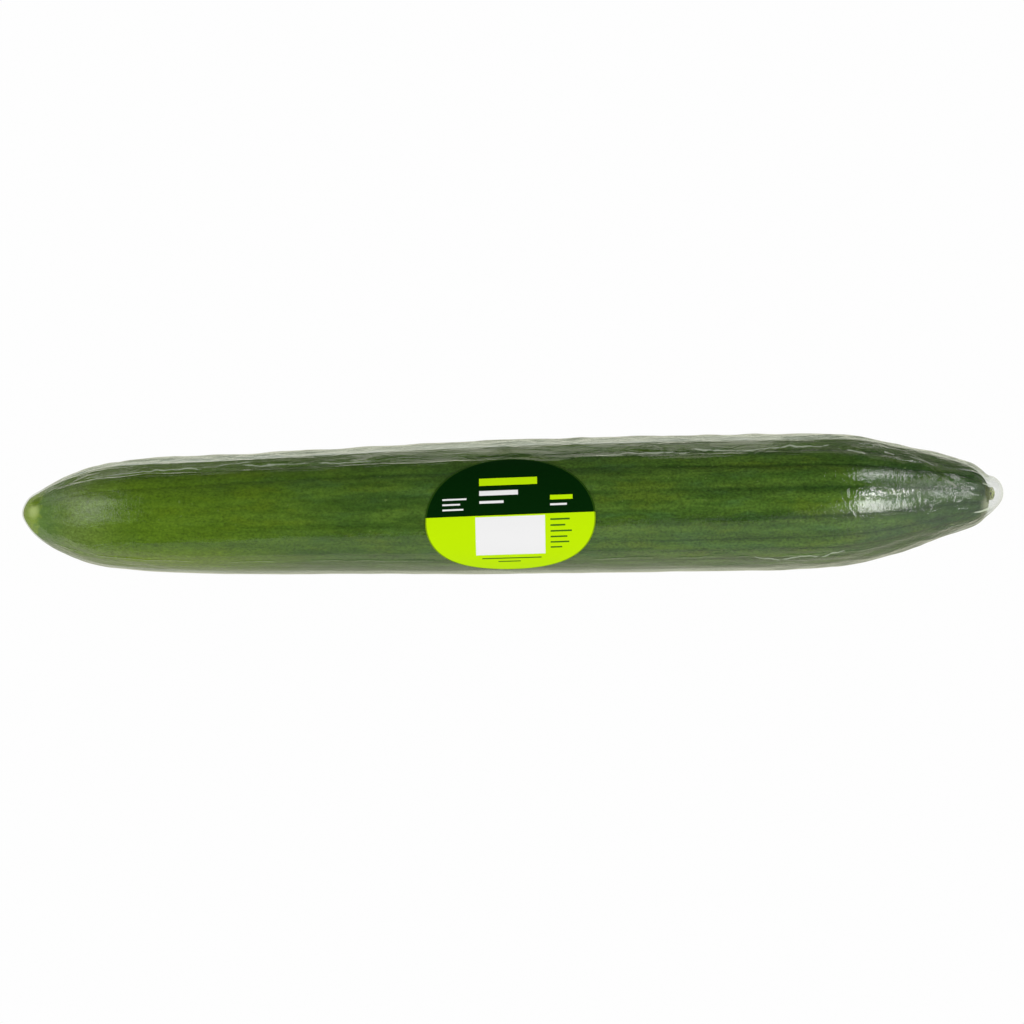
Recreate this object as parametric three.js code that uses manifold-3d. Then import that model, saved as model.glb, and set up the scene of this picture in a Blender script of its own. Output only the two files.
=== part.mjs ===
// A long cucumber, shrink-wrapped in clear film, with an oval sticker on the film.
// Millimetres, +Z up. It lies along X with its blossom end at -X and its stem end at +X,
// and it rests on the plane z = 0. Angles run around the cucumber from its top towards -Y.

import * as THREE from 'three';
import { mergeVertices } from 'three/addons/utils/BufferGeometryUtils.js';
import Module from 'manifold-3d';

const wasm = await Module();
wasm.setup();

// Driving dimensions

const FILM_THICKNESS = 0.4;
const CLEARANCE = 0.3;
const SKIN_INSET = 1.0;
const RINGS_PER_STATION = 2;

// The wrapped outline from tip to tip: place along X, centre across and up, and radius.
const OUTLINE = [
  { x: -156.0, y: -3.1, z: 17.3, r: 0 },
  { x: -154.5, y: -2.9, z: 17.2, r: 3.96 },
  { x: -150.7, y: -3.5, z: 17.1, r: 7.61 },
  { x: -143.1, y: -3.8, z: 17.0, r: 12.1 },
  { x: -132.0, y: -3.7, z: 17.5, r: 16.1 },
  { x: -116.2, y: -3.5, z: 18.3, r: 18.1 },
  { x: -92.4, y: -3.35, z: 18.9, r: 19.2 },
  { x: -54.3, y: -2.3, z: 19.7, r: 20.2 },
  { x: -16.3, y: -1.3, z: 20.7, r: 21.2 },
  { x: 21.8, y: -0.5, z: 21.2, r: 21.7 },
  { x: 59.8, y: 0.2, z: 21.35, r: 21.85 },
  { x: 88.4, y: 0.7, z: 21.55, r: 21.85 },
  { x: 107.4, y: 1.2, z: 21.6, r: 20.8 },
  { x: 123.3, y: 1.7, z: 21.3, r: 17.4 },
  { x: 137.5, y: 2.55, z: 21.1, r: 13.25 },
  { x: 146.1, y: 2.8, z: 21.1, r: 10.5 },
  { x: 150.8, y: 2.65, z: 21.4, r: 7.2 },
  { x: 153.7, y: 3.5, z: 21.8, r: 5.1 },
  { x: 155.6, y: 3.55, z: 21.9, r: 2.4 },
  { x: 156.0, y: 3.1, z: 21.9, r: 0 },
];

// The skin follows the outline, one inset inside it, up to this station. Past it the skin
// rounds over to its own tip, and the film stands off it as a loose cap.
const LAST_TIGHT_STATION = 14;
const STEM_SHOULDER = [
  { x: 145.6, y: 2.8, z: 21.1, r: 9.3 },
  { x: 149.3, y: 2.8, z: 21.3, r: 6.9 },
  { x: 151.2, y: 2.9, z: 21.4, r: 4.5 },
  { x: 152.0, y: 2.9, z: 21.5, r: 2.2 },
  { x: 152.2, y: 2.9, z: 21.5, r: 0 },
];

// Furrows around the section, in degrees. The ribs stand halfway between them.
const FURROWS = [-168, -145, -122, -99, -76, -53, -34, -11, 13, 32, 45.5, 60, 80, 102, 124, 147, 170];
const FURROW_DEPTH = 0.55;
const FURROW_VARIATION = 0.25;
const FURROW_SHARPNESS = 1.3;
const BLOSSOM_FADE = { from: -150, to: -90, amount: 0.5 };
const NECK_DEEPENING = { from: 85, to: 125, amount: 0.8 };

// The film bends over each rib in a narrow flat, this share of a facet to each side.
const CORNER_SHARE = 0.15;

// The flat that it rests on
const FILM_FLOOR = 0;
const SKIN_FLOOR = FILM_FLOOR + FILM_THICKNESS + CLEARANCE + 0.05;

// The cut stem stub: a short cylinder with its scar facing up and forward
const STUB = { x: 152.3, y: 2.9, z: 25.4, radius: 2.4, rootRadius: 3.1, length: 4.5, tilt: 41 };

// A vent pierced through the film, low on the +Y side
const VENT = { x: 60, angle: -140, radius: 1.5 };

// The sticker: an oval on the unrolled film, its centre measured from the top towards -Y
const LABEL = { x: -0.5, around: 3.6, length: 54, width: 41.6, tilt: 1.0, thickness: 0.3 };
const LABEL_LIFT = CLEARANCE + 0.1;

const RAD = THREE.MathUtils.DEG2RAD;
const CUTTER_SIZE = 400;

// Profiles

// Stations joined by a smooth curve. A mirrored station past each tip makes the tips round.
function makeProfile(stations) {
  const last = stations.length - 1;
  const mirrored = (station) => ({ ...station, r: -station.r });
  const padded = [mirrored(stations[1]), ...stations, mirrored(stations[last - 1])];
  const radii = new THREE.CatmullRomCurve3(padded.map((s) => new THREE.Vector3(s.x, s.r, 0)));
  const centres = new THREE.CatmullRomCurve3(padded.map((s) => new THREE.Vector3(s.x, s.y, s.z)));
  const parameter = (station) => (station + 1) / (last + 2);
  return { radii, centres, parameter, last };
}

// A section at a place counted in stations, moved inward by inset across the outline.
function sectionAt(profile, station, inset) {
  const t = profile.parameter(station);
  const point = profile.radii.getPoint(t);
  const tangent = profile.radii.getTangent(t);
  const centre = profile.centres.getPoint(t);
  return {
    x: point.x + tangent.y * inset,
    y: centre.y,
    z: centre.z,
    r: Math.max(point.y - tangent.x * inset, 0),
  };
}

function allSections(profile, inset) {
  const count = profile.last * RINGS_PER_STATION;
  const sections = [];
  for (let i = 0; i <= count; i++) {
    sections.push(sectionAt(profile, i / RINGS_PER_STATION, inset));
  }
  return sections;
}

// The section whose centre is at a given x
function sectionAtX(profile, x) {
  let low = 0;
  let high = profile.last;
  while (high - low > 1e-6) {
    const middle = (low + high) / 2;
    if (sectionAt(profile, middle, 0).x < x) low = middle;
    else high = middle;
  }
  return sectionAt(profile, low, 0);
}

function pointAround(section, angle, radius) {
  return new THREE.Vector3(
    section.x,
    section.y - radius * Math.sin(angle * RAD),
    section.z + radius * Math.cos(angle * RAD),
  );
}

// Ribs

function ribBefore(index) {
  const previous = index === 0 ? FURROWS[FURROWS.length - 1] - 360 : FURROWS[index - 1];
  return (previous + FURROWS[index]) / 2;
}

function ribAfter(index) {
  return index === FURROWS.length - 1 ? ribBefore(0) + 360 : ribBefore(index + 1);
}

function ramp(x, { from, to, amount }) {
  return amount * THREE.MathUtils.smoothstep(x, from, to);
}

function furrowDepth(index, section) {
  const own = FURROW_DEPTH + FURROW_VARIATION * Math.sin(2.4 * index + 1);
  const along = 1 - BLOSSOM_FADE.amount + ramp(section.x, BLOSSOM_FADE) + ramp(section.x, NECK_DEEPENING);
  return Math.min(own * along, 0.12 * section.r);
}

// The skin's section: rib, slope, furrow, slope, all the way round
function skinRing(section) {
  const slope = Math.pow((1 - Math.cos(Math.PI / 2)) / 2, FURROW_SHARPNESS);
  const ring = [];
  FURROWS.forEach((furrow, index) => {
    const depth = furrowDepth(index, section);
    const rib = ribBefore(index);
    const next = ribAfter(index);
    ring.push(pointAround(section, rib, section.r));
    ring.push(pointAround(section, (rib + furrow) / 2, section.r - depth * slope));
    ring.push(pointAround(section, furrow, section.r - depth));
    ring.push(pointAround(section, (furrow + next) / 2, section.r - depth * slope));
  });
  return ring;
}

// The film's section: taut flats from rib to rib, each corner bent over in a narrow flat
function filmRing(section) {
  const ring = [];
  FURROWS.forEach((furrow, index) => {
    const from = pointAround(section, ribBefore(index), section.r);
    const to = pointAround(section, ribAfter(index), section.r);
    ring.push(from.clone().lerp(to, CORNER_SHARE));
    ring.push(from.clone().lerp(to, 1 - CORNER_SHARE));
  });
  return ring;
}

// Solids

// A closed skin through rings of points, from one pole to the other along +X
function closedLoft(sections, ringOf) {
  const inner = sections.slice(1, -1);
  const rings = inner.map(ringOf);
  const count = rings[0].length;
  const points = rings.flat();
  const start = points.push(pointAround(sections[0], 0, 0)) - 1;
  const end = points.push(pointAround(sections[sections.length - 1], 0, 0)) - 1;
  const faces = [];
  for (let j = 0; j < count; j++) {
    const k = (j + 1) % count;
    faces.push(start, k, j);
    for (let i = 0; i < rings.length - 1; i++) {
      const a = i * count + j;
      const b = i * count + k;
      faces.push(a, b, b + count);
      faces.push(a, b + count, a + count);
    }
    const lastRow = (rings.length - 1) * count;
    faces.push(end, lastRow + j, lastRow + k);
  }
  return makeGeometry(points, faces);
}

function makeGeometry(points, faces) {
  const geometry = new THREE.BufferGeometry();
  geometry.setAttribute('position', new THREE.Float32BufferAttribute(points.flatMap((p) => p.toArray()), 3));
  geometry.setIndex(faces);
  return geometry;
}

function toSolid(geometry) {
  const plain = geometry.clone();
  plain.deleteAttribute('normal');
  plain.deleteAttribute('uv');
  const merged = mergeVertices(plain);
  return new wasm.Manifold(new wasm.Mesh({
    numProp: 3,
    vertProperties: new Float32Array(merged.attributes.position.array),
    triVerts: new Uint32Array(merged.index.array),
  }));
}

function toGeometry(solid) {
  const mesh = solid.getMesh();
  const geometry = new THREE.BufferGeometry();
  geometry.setAttribute('position', new THREE.Float32BufferAttribute(mesh.vertProperties, 3));
  geometry.setIndex(Array.from(mesh.triVerts));
  return geometry;
}

// Cuts away everything below a height, which leaves a flat there
function restOn(solid, height) {
  const below = new THREE.BoxGeometry(CUTTER_SIZE, CUTTER_SIZE, CUTTER_SIZE);
  below.translate(0, 0, height - CUTTER_SIZE / 2);
  return solid.subtract(toSolid(below));
}

// The cucumber

function stemStub() {
  const stub = new THREE.CylinderGeometry(STUB.radius, STUB.rootRadius, STUB.length, 20);
  stub.translate(0, -STUB.length / 2, 0);
  stub.rotateX(Math.PI / 2);
  stub.rotateY(STUB.tilt * RAD);
  stub.translate(STUB.x, STUB.y, STUB.z);
  return stub;
}

function makeCucumber(outline) {
  const tight = [];
  for (let station = 0; station <= LAST_TIGHT_STATION; station++) {
    tight.push(sectionAt(outline, station, SKIN_INSET));
  }
  const skin = makeProfile([...tight, ...STEM_SHOULDER]);
  const fruit = toSolid(closedLoft(allSections(skin, 0), skinRing));
  return toGeometry(restOn(fruit.add(toSolid(stemStub())), SKIN_FLOOR));
}

// The film

function ventPunch(outline) {
  const section = sectionAtX(outline, VENT.x);
  const punch = new THREE.CylinderGeometry(VENT.radius, VENT.radius, section.r, 16);
  punch.rotateX(Math.PI / 2);
  punch.translate(0, 0, section.r);
  punch.rotateX(VENT.angle * RAD);
  punch.translate(section.x, section.y, section.z);
  return punch;
}

function makeFilm(outline) {
  const outer = toSolid(closedLoft(allSections(outline, 0), filmRing));
  const inner = toSolid(closedLoft(allSections(outline, FILM_THICKNESS), filmRing));
  const shell = restOn(outer, FILM_FLOOR).subtract(restOn(inner, FILM_FLOOR + FILM_THICKNESS));
  return toGeometry(shell.subtract(toSolid(ventPunch(outline))));
}

// The label

// A point of the sticker: along and around on the unrolled film, lifted off the outline
function labelPoint(outline, along, around, lift) {
  const section = sectionAtX(outline, LABEL.x + along);
  const angle = (LABEL.around + around) / section.r / RAD;
  return pointAround(section, angle, section.r + lift);
}

function makeLabel(outline) {
  const RINGS = 4;
  const SPOKES = 40;
  const tilt = LABEL.tilt * RAD;
  const points = [];
  for (const lift of [LABEL_LIFT + LABEL.thickness, LABEL_LIFT]) {
    points.push(labelPoint(outline, 0, 0, lift));
    for (let i = 1; i <= RINGS; i++) {
      for (let j = 0; j < SPOKES; j++) {
        const turn = (j / SPOKES) * 2 * Math.PI;
        const u = (LABEL.length / 2) * (i / RINGS) * Math.cos(turn);
        const v = (LABEL.width / 2) * (i / RINGS) * Math.sin(turn);
        const along = u * Math.cos(tilt) + v * Math.sin(tilt);
        const around = v * Math.cos(tilt) - u * Math.sin(tilt);
        points.push(labelPoint(outline, along, around, lift));
      }
    }
  }
  const under = 1 + RINGS * SPOKES;
  const at = (ring, spoke) => 1 + (ring - 1) * SPOKES + (spoke % SPOKES);
  const faces = [];
  for (let j = 0; j < SPOKES; j++) {
    faces.push(0, at(1, j + 1), at(1, j));
    faces.push(under, under + at(1, j), under + at(1, j + 1));
    for (let i = 1; i < RINGS; i++) {
      const [a, b, c, d] = [at(i, j), at(i, j + 1), at(i + 1, j + 1), at(i + 1, j)];
      faces.push(a, b, c, a, c, d);
      faces.push(under + a, under + c, under + b, under + a, under + d, under + c);
    }
    const [rim, next] = [at(RINGS, j), at(RINGS, j + 1)];
    faces.push(rim, next, under + next, rim, under + next, under + rim);
  }
  return makeGeometry(points, faces);
}

// Assembly

function makeMesh(name, geometry, settings) {
  geometry.computeVertexNormals();
  const mesh = new THREE.Mesh(geometry, new THREE.MeshStandardMaterial({ flatShading: true, ...settings }));
  mesh.name = name;
  return mesh;
}

const outline = makeProfile(OUTLINE);
const cucumber = makeMesh('cucumber', makeCucumber(outline), { color: 0x4c6a28, roughness: 0.45 });
const film = makeMesh('film_wrap', makeFilm(outline), {
  color: 0xe9efe6,
  roughness: 0.15,
  transparent: true,
  opacity: 0.3,
});
const label = makeMesh('label', makeLabel(outline), { color: 0x0b3a16, roughness: 0.4 });

// The origin is under the middle of the wrapped cucumber
const part = new THREE.Group();
part.add(cucumber, film, label);
const bounds = new THREE.Box3().setFromObject(part);
const middle = bounds.getCenter(new THREE.Vector3());
part.position.set(-middle.x, -middle.y, -bounds.min.z);

export default part;
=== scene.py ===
"""A shrink-wrapped cucumber with an oval sticker, seen from straight above on a pale floor.

Lengths are in millimetres. Only those of the floor and the key light, and places that a material
reads off its object, are in metres. Angles around the cucumber run from its top towards -Y, in
degrees, as in the CAD model.
"""

import math

import bpy
import numpy as np
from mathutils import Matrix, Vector, noise


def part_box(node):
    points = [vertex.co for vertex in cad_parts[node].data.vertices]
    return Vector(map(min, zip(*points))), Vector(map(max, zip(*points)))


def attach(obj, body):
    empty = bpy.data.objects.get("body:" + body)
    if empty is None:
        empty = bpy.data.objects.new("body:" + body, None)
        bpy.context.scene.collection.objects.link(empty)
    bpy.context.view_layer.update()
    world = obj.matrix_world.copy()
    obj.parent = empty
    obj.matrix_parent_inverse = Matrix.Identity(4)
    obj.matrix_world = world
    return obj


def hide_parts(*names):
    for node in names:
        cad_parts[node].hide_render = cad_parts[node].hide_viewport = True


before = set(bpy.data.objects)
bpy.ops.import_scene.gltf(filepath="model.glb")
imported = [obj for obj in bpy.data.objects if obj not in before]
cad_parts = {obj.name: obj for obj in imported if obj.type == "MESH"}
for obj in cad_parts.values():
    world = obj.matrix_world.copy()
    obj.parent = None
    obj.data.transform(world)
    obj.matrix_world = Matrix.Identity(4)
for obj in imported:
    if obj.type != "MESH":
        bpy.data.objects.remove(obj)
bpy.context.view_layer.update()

MM = 0.001

# The wrapped outline from tip to tip, as in the CAD model: x, y and z of the centre, radius
OUTLINE = np.array([
    (-156.0, -3.1, 17.3, 0.0),
    (-154.5, -2.9, 17.2, 3.96),
    (-150.7, -3.5, 17.1, 7.61),
    (-143.1, -3.8, 17.0, 12.1),
    (-132.0, -3.7, 17.5, 16.1),
    (-116.2, -3.5, 18.3, 18.1),
    (-92.4, -3.35, 18.9, 19.2),
    (-54.3, -2.3, 19.7, 20.2),
    (-16.3, -1.3, 20.7, 21.2),
    (21.8, -0.5, 21.2, 21.7),
    (59.8, 0.2, 21.35, 21.85),
    (88.4, 0.7, 21.55, 21.85),
    (107.4, 1.2, 21.6, 20.8),
    (123.3, 1.7, 21.3, 17.4),
    (137.5, 2.55, 21.1, 13.25),
    (146.1, 2.8, 21.1, 10.5),
    (150.8, 2.65, 21.4, 7.2),
    (153.7, 3.5, 21.8, 5.1),
    (155.6, 3.55, 21.9, 2.4),
    (156.0, 3.1, 21.9, 0.0),
])
STEM_SHOULDER = np.array([
    (144.8, 2.6, 21.1, 9.9),
    (148.5, 2.2, 21.3, 7.6),
    (150.4, 2.0, 21.4, 5.2),
    (151.2, 2.2, 21.5, 2.7),
    (151.4, 2.3, 21.5, 0.0),
])
LAST_TIGHT_STATION = 14
FURROWS = np.array([-168, -145, -122, -99, -76, -53, -34, -11.5, 14, 33, 46, 60, 80, 102, 124, 147, 170])
RIBS = (np.concatenate([[FURROWS[-1] - 360], FURROWS[:-1]]) + FURROWS) / 2

# The frame sets the size: one listed millimetre is this many real ones
film_low, film_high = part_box("film_wrap")
SCALE = (film_high.x - film_low.x) / MM / (OUTLINE[-1, 0] - OUTLINE[0, 0])

# The skin and the film lie this far inside the outline. The film stands off the skin's two sides.
SKIN_INSET = 0.5
FILM_INSET = 0.1
SIDE_GAP = {"+Y": 1.7, "-Y": 0.6}
FLOOR_CLEARANCE = {"film": 0.02, "skin": 0.4}

MIRROR = np.array([1, 1, 1, -1])


# Shape


def catmull_rom(stations, where):
    """Rows and slopes of a smooth curve through the stations, at places counted in stations.

    A mirrored station past each tip makes the tips round."""
    rows = np.vstack([stations[1] * MIRROR, stations, stations[-2] * MIRROR])
    index = np.clip(np.floor(where).astype(int), 0, len(stations) - 2)
    t = (where - index)[:, None]
    p0, p1, p2, p3 = (rows[index + k] for k in range(4))
    neighbours = ((p0, p1), (p1, p2), (p2, p3))
    d0, d1, d2 = [np.sqrt(np.hypot(*(b - a)[:, [0, 3]].T))[:, None] for a, b in neighbours]
    m1 = ((p1 - p0) / d0 - (p2 - p0) / (d0 + d1) + (p2 - p1) / d1) * d1
    m2 = ((p2 - p1) / d1 - (p3 - p1) / (d1 + d2) + (p3 - p2) / d2) * d1
    a = 2 * p1 - 2 * p2 + m1 + m2
    b = -3 * p1 + 3 * p2 - 2 * m1 - m2
    return ((a * t + b) * t + m1) * t + p1, (3 * a * t + 2 * b) * t + m1


def inset_rows(stations, where, inset):
    """Rows at those places, moved inwards at right angles to the outline."""
    rows, slopes = catmull_rom(stations, where)
    dx, dr = slopes[:, 0], slopes[:, 3]
    length = np.hypot(dx, dr)
    rows[:, 0] += dr / length * inset
    rows[:, 3] = np.maximum(rows[:, 3] - dx / length * inset, 0)
    return rows


def even_rows(stations, count, inset):
    """Rows spread evenly along the outline, and closer together towards both tips."""
    tip_density = 0.5
    dense = np.linspace(0, len(stations) - 1, 4001)
    rows, _ = catmull_rom(stations, dense)
    steps = np.hypot(np.diff(rows[:, 0]), np.diff(rows[:, 3]))
    lengths = np.concatenate([[0], np.cumsum(steps)])
    share = np.linspace(0, 1, count)
    eased = share - tip_density * np.sin(2 * math.pi * share) / (2 * math.pi)
    where = np.interp(eased * lengths[-1], lengths, dense)
    return inset_rows(stations, where, inset)


def ring_angles(count):
    """Angles around a section, closer together over its upper half."""
    share = (np.arange(count) + 0.5) / count - 0.5
    return 360 * share - 22 * np.sin(2 * math.pi * share)


def skin_stations():
    """The skin follows the film, but ends in a shoulder of its own under the film's loose cap."""
    tight = inset_rows(OUTLINE, np.arange(LAST_TIGHT_STATION + 1.0), SKIN_INSET)
    return np.vstack([tight, STEM_SHOULDER])


def bumps(points, size, seed):
    """Smooth noise from about -1 to 1, with bumps of about that size."""
    offset = Vector((seed * 7.13, seed * 3.71, seed * 5.29))
    flat = points.reshape(-1, 3) / size
    return np.array([noise.noise(Vector(p) + offset) for p in flat]).reshape(points.shape[:-1])


def smoothstep(low, high, value):
    """0 at low and 1 at high, with a soft change between. Low may be the larger of the two."""
    t = np.clip((value - low) / (high - low), 0, 1)
    return t * t * (3 - 2 * t)


def on_section(rows, angles, radii):
    """Points at angles and radii around each row's centre, one line of points to a row."""
    turn = np.radians(angles)
    x = np.broadcast_to(rows[:, :1], radii.shape)
    y = rows[:, 1:2] - radii * np.sin(turn)
    z = rows[:, 2:3] + radii * np.cos(turn)
    return np.stack([x, y, z], axis=-1)


def rib_pattern(rows, angles):
    """The furrow's number, 0 on the ribs to 1 in the furrows, and how far a flat facet between
    two ribs lies below the round, as a share of the radius."""
    turned = angles[None, :] + meander(rows, angles)
    turned = (turned - RIBS[0]) % 360 + RIBS[0]
    index = np.clip(np.searchsorted(RIBS, turned, side="right") - 1, 0, len(RIBS) - 1)
    rib, next_rib = RIBS[index], np.append(RIBS[1:], RIBS[0] + 360)[index]
    furrow = FURROWS[index]
    share = np.minimum((turned - rib) / (furrow - rib), (next_rib - turned) / (next_rib - furrow))
    half, middle = np.radians(next_rib - rib) / 2, (next_rib + rib) / 2
    sag = 1 - np.cos(half) / np.cos(np.radians(turned - middle))
    return index, np.clip(share, 0, 1), np.clip(sag, 0, 1)


def meander(rows, angles):
    """How far the ribs wander around the section along the cucumber, in degrees."""
    ring = on_section(rows, angles[None, :], np.full((len(rows), len(angles)), 18.0))
    ring[..., 0] /= 3
    x = rows[:, :1]
    return -5 * smoothstep(-40, -130, x) + 2.2 * smoothstep(100, 75, x) * bumps(ring, 14, 1)


def furrow_depth(rows, index, share):
    """Furrows of unlike depths, deepest where the neck begins and shallow at both tips."""
    x, r = rows[:, :1], rows[:, 3:4]
    own = 0.5 + 0.22 * np.sin(2.4 * index + 1)
    along = 0.35 + 0.65 * smoothstep(-150, -80, x)
    along = along + 0.5 * smoothstep(85, 120, x) - 0.7 * smoothstep(126, 146, x)
    return np.minimum(own * along, 0.10 * r) * share ** 4


def side_gap(rows, angles):
    """How far the skin lies inside the film at its two sides, less towards both ends."""
    side = np.where(angles < 0, SIDE_GAP["+Y"], SIDE_GAP["-Y"])
    x = rows[:, :1]
    tight = 1 - 0.55 * smoothstep(-105, -140, x) - 0.65 * smoothstep(92, 122, x)
    return side * tight * np.sin(np.radians(angles)) ** 4 * smoothstep(4, 14, rows[:, 3:4])


# Meshes


def make_mesh(name, points, faces):
    mesh = bpy.data.meshes.new(name)
    mesh.from_pydata((np.asarray(points) * MM * SCALE).tolist(), [], faces)
    mesh.validate()
    mesh.polygons.foreach_set("use_smooth", [True] * len(mesh.polygons))
    piece = bpy.data.objects.new(name, mesh)
    bpy.context.scene.collection.objects.link(piece)
    return piece


def closed_faces(rings, around):
    """Quads between rings and triangles to a pole at each end, which come last in the points."""
    faces = []
    start, end = rings * around, rings * around + 1
    for j in range(around):
        k = (j + 1) % around
        faces.append((start, k, j))
        for i in range(rings - 1):
            a, b = i * around + j, i * around + k
            faces.append((a, b, b + around, a + around))
        last = (rings - 1) * around
        faces.append((end, last + j, last + k))
    return faces


def closed_loft(name, rows, points):
    rings, around = points.shape[:2]
    poles = rows[[0, -1], :3]
    return make_mesh(name, np.vstack([points.reshape(-1, 3), poles]), closed_faces(rings, around))


def set_attribute(piece, name, values):
    attribute = piece.data.attributes.new(name, "FLOAT", "POINT")
    attribute.data.foreach_set("value", np.asarray(values, np.float32))


# Material helpers


class Shader:
    """A material's or a world's nodes, added and joined by short calls."""

    def __init__(self, holder, output):
        holder.use_nodes = True
        self.holder = holder
        self.nodes = holder.node_tree.nodes
        self.nodes.clear()
        self.links = holder.node_tree.links
        self.output = self.add(output)

    def add(self, kind, **inputs):
        node = self.nodes.new("ShaderNode" + kind)
        for name, value in inputs.items():
            self.put(node.inputs[name.replace("_", " ")], value)
        return node

    def put(self, socket, value):
        if isinstance(value, bpy.types.NodeSocket):
            self.links.new(value, socket)
        else:
            socket.default_value = value

    def math(self, operation, *values):
        node = self.nodes.new("ShaderNodeMath")
        node.operation = operation
        for socket, value in zip(node.inputs, values):
            self.put(socket, value)
        return node.outputs[0]

    def vector(self, operation, *values):
        node = self.nodes.new("ShaderNodeVectorMath")
        node.operation = operation
        for socket, value in zip(node.inputs, values):
            self.put(socket, value)
        return node

    def times(self, *values):
        product = values[0]
        for value in values[1:]:
            product = self.math("MULTIPLY", product, value)
        return product

    def step(self, value, start, end):
        """0 at start and 1 at end, with a soft change between."""
        node = self.nodes.new("ShaderNodeMapRange")
        node.interpolation_type = "SMOOTHSTEP"
        self.put(node.inputs["Value"], value)
        node.inputs["From Min"].default_value = min(start, end)
        node.inputs["From Max"].default_value = max(start, end)
        node.inputs["To Min"].default_value = float(start > end)
        node.inputs["To Max"].default_value = float(start < end)
        return node.outputs[0]

    def window(self, value, low, high, soft):
        """1 between low and high, with soft edges."""
        rise = self.step(value, low - soft, low + soft)
        fall = self.step(value, high + soft, high - soft)
        return self.times(rise, fall)

    def choose(self, factor, first, second):
        node = self.nodes.new("ShaderNodeMix")
        for number, value in ((0, factor), (2, first), (3, second)):
            self.put(node.inputs[number], value)
        return node.outputs[0]

    def mix(self, factor, first, second):
        node = self.nodes.new("ShaderNodeMix")
        node.data_type = "RGBA"
        for number, value in ((0, factor), (6, first), (7, second)):
            self.put(node.inputs[number], (*value, 1) if isinstance(value, tuple) else value)
        return node.outputs[2]

    def paint(self, colour, other, where, amount):
        """The colour with that amount of the other over it, where the factor is 1."""
        return self.mix(self.times(where, amount), colour, other)

    def blend(self, factor, first, second):
        node = self.add("MixShader", Fac=factor)
        self.put(node.inputs[1], first)
        self.put(node.inputs[2], second)
        return node.outputs[0]

    def noise(self, vector, scale, detail=2.0, roughness=0.5, distortion=0.0):
        node = self.add("TexNoise", Vector=vector, Scale=scale, Detail=detail, Roughness=roughness)
        node.inputs["Distortion"].default_value = distortion
        return node.outputs["Fac"]

    def stretched(self, vector, sizes, turn=0.0):
        """Coordinates in which one unit is that many millimetres along each axis."""
        node = self.add("Mapping", Vector=vector)
        node.inputs["Rotation"].default_value = (0, 0, math.radians(turn))
        node.inputs["Scale"].default_value = [1 / (size * MM) for size in sizes]
        return node.outputs["Vector"]

    def place(self):
        """The point's place on the object, in metres."""
        return self.add("TexCoord").outputs["Object"]

    def attribute(self, name):
        node = self.add("Attribute")
        node.attribute_name = name
        return node.outputs["Fac"]

    def bump(self, height, distance, strength=1.0, normal=None):
        """Bumps from a height of 0 to 1, that many millimetres high."""
        node = self.add("Bump", Height=height, Distance=distance * MM, Strength=strength)
        if normal is not None:
            self.put(node.inputs["Normal"], normal)
        return node.outputs["Normal"]

    def finish(self, shader):
        self.put(self.output.inputs["Surface"], shader)
        return self.holder


def new_material(name):
    return Shader(bpy.data.materials.new(name), "OutputMaterial")


# The cucumber


SKIN_RINGS, SKIN_AROUND = 420, 216
SKIN_FLATNESS = 0.5

# The cut stem's end, and its outline as radius and height above that end
STUB_CENTRE = Vector((151.8, 3.2, 26.0))
STUB_TILT = math.radians(54)
STUB_AXIS = Vector((math.sin(STUB_TILT), 0, math.cos(STUB_TILT)))
STUB_AROUND = 72
STUB_PROFILE = [
    (0.0, -0.6), (0.4, -0.5), (0.7, -0.58), (1.1, -0.5), (1.4, -0.32),
    (1.65, -0.1), (1.85, 0.0), (2.0, -0.08), (2.06, -0.35), (2.05, -0.9),
    (2.2, -1.6), (2.6, -2.4), (3.4, -3.2), (4.2, -4.4), (0.0, -4.4),
]

# Spots of their own colour, and the place of a painted highlight on the blossom end
SHOULDER_PATCH = Vector((150.6, -0.3, 26.4))
BLOSSOM_TIP = Vector((-155.2, -2.6, 17.6))
BLOSSOM_HIGHLIGHT_SPOT = Vector((-151.8, -2.2, 24.2))
BLOSSOM_DARK_SPOT = Vector((-151.2, 1.3, 23.6))

SKIN_COLOURS = {
    "deep": (0.050, 0.114, 0.0135),
    "light": (0.101, 0.194, 0.0245),
    "shaded": (0.040, 0.098, 0.018),
    "olive": (0.120, 0.186, 0.012),
    "cool": (0.064, 0.150, 0.044),
    # "furrow": the furrows' darker skin, with painted shade in them
    "furrow": (0.020, 0.062, 0.008),
    "fresh": (0.160, 0.280, 0.002),
    "sunny": (0.270, 0.380, 0.002),
    "pale": (0.230, 0.338, 0.076),
    "neck": (0.019, 0.060, 0.018),
    "speck": (0.20, 0.30, 0.08),
}
BLOSSOM_COLOURS = {
    "around": (0.130, 0.270, 0.070),
    "end": (0.330, 0.460, 0.060),
    # "pale": a painted highlight on top of the blossom end
    "pale": (0.640, 0.760, 0.300),
    "dark": (0.130, 0.220, 0.004),
    "brown": (0.330, 0.330, 0.070),
}
STEM_COLOURS = {
    "shoulder": (0.580, 0.620, 0.420),
    # "flank": painted shade on the stem's left side
    "flank": (0.100, 0.135, 0.016),
    # "rim": the stem's pale rim on its right side, partly its own colour, partly painted light
    "rim": (0.660, 0.700, 0.440),
    "scar": (0.150, 0.175, 0.022),
    "scar speck": (0.420, 0.490, 0.090),
    "pith": (0.035, 0.032, 0.008),
}


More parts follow.
